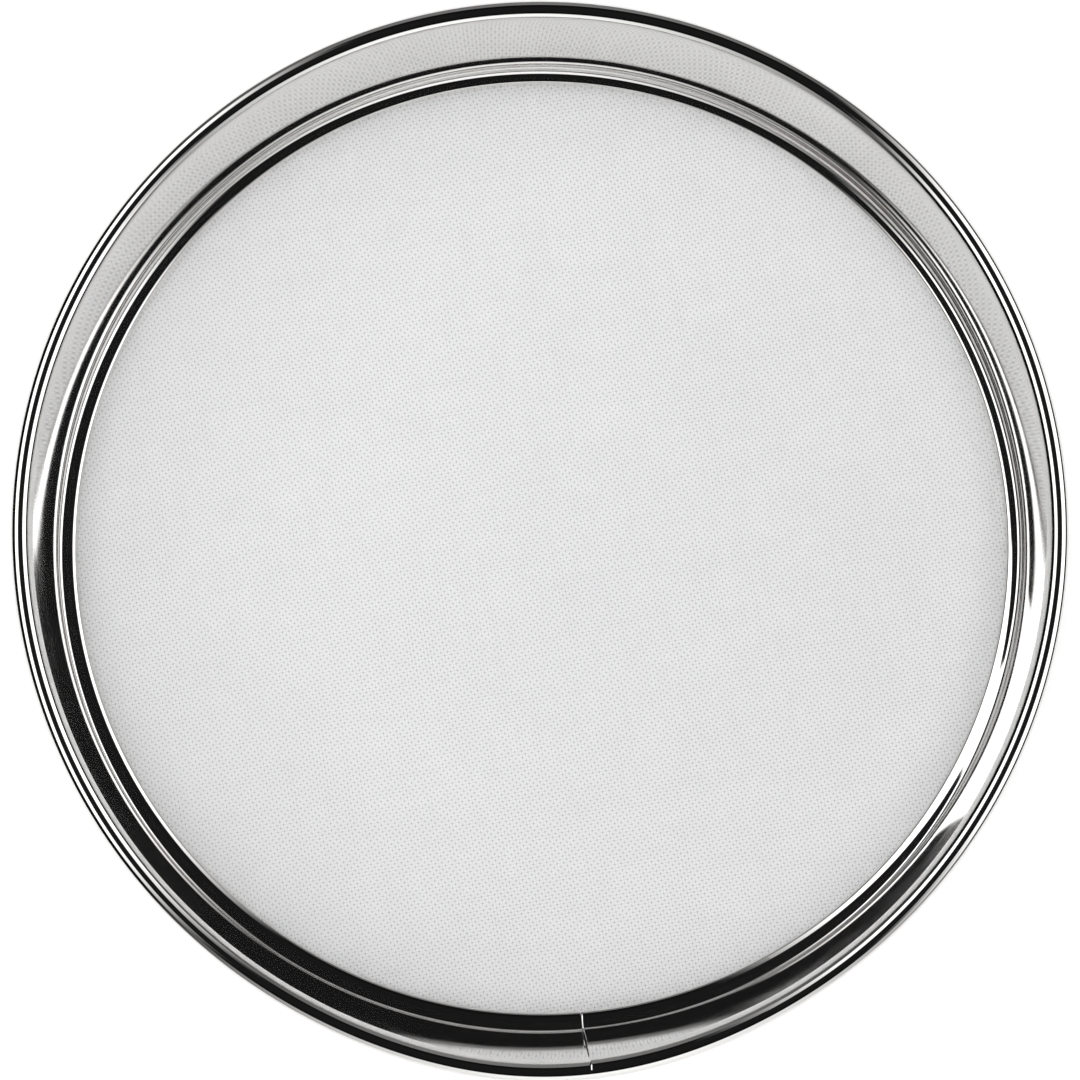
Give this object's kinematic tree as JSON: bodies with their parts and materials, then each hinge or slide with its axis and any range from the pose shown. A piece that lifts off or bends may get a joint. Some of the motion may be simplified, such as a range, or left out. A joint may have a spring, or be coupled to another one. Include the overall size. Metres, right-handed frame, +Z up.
{
  "type": "tamis drum sieve",
  "caption": "Round drum sieve: a polished sheet-steel band with rolled rim, inward bead and lap seam, and a flat woven steel cloth near the foot.",
  "frame": {"origin": "on the table, at the drum's axis, in the plane of the flat under the foot", "axes": "+Z up along the drum's axis, out of the open rim; -Y towards the lap seam; +X to the right with the seam at the front"},
  "size_m": [0.3, 0.3, 0.07],
  "materials": {
    "polished_band": "mirror-polished stainless steel",
    "hoop_wire": "drawn steel wire",
    "woven_cloth": "bright drawn wire, plain weave"
  },
  "bodies": {
    "root": {"drum_band": "polished_band", "rim_wire": "hoop_wire", "mesh_hoop": "hoop_wire", "sieve_mesh": "woven_cloth"}
  },
  "joints": []
}
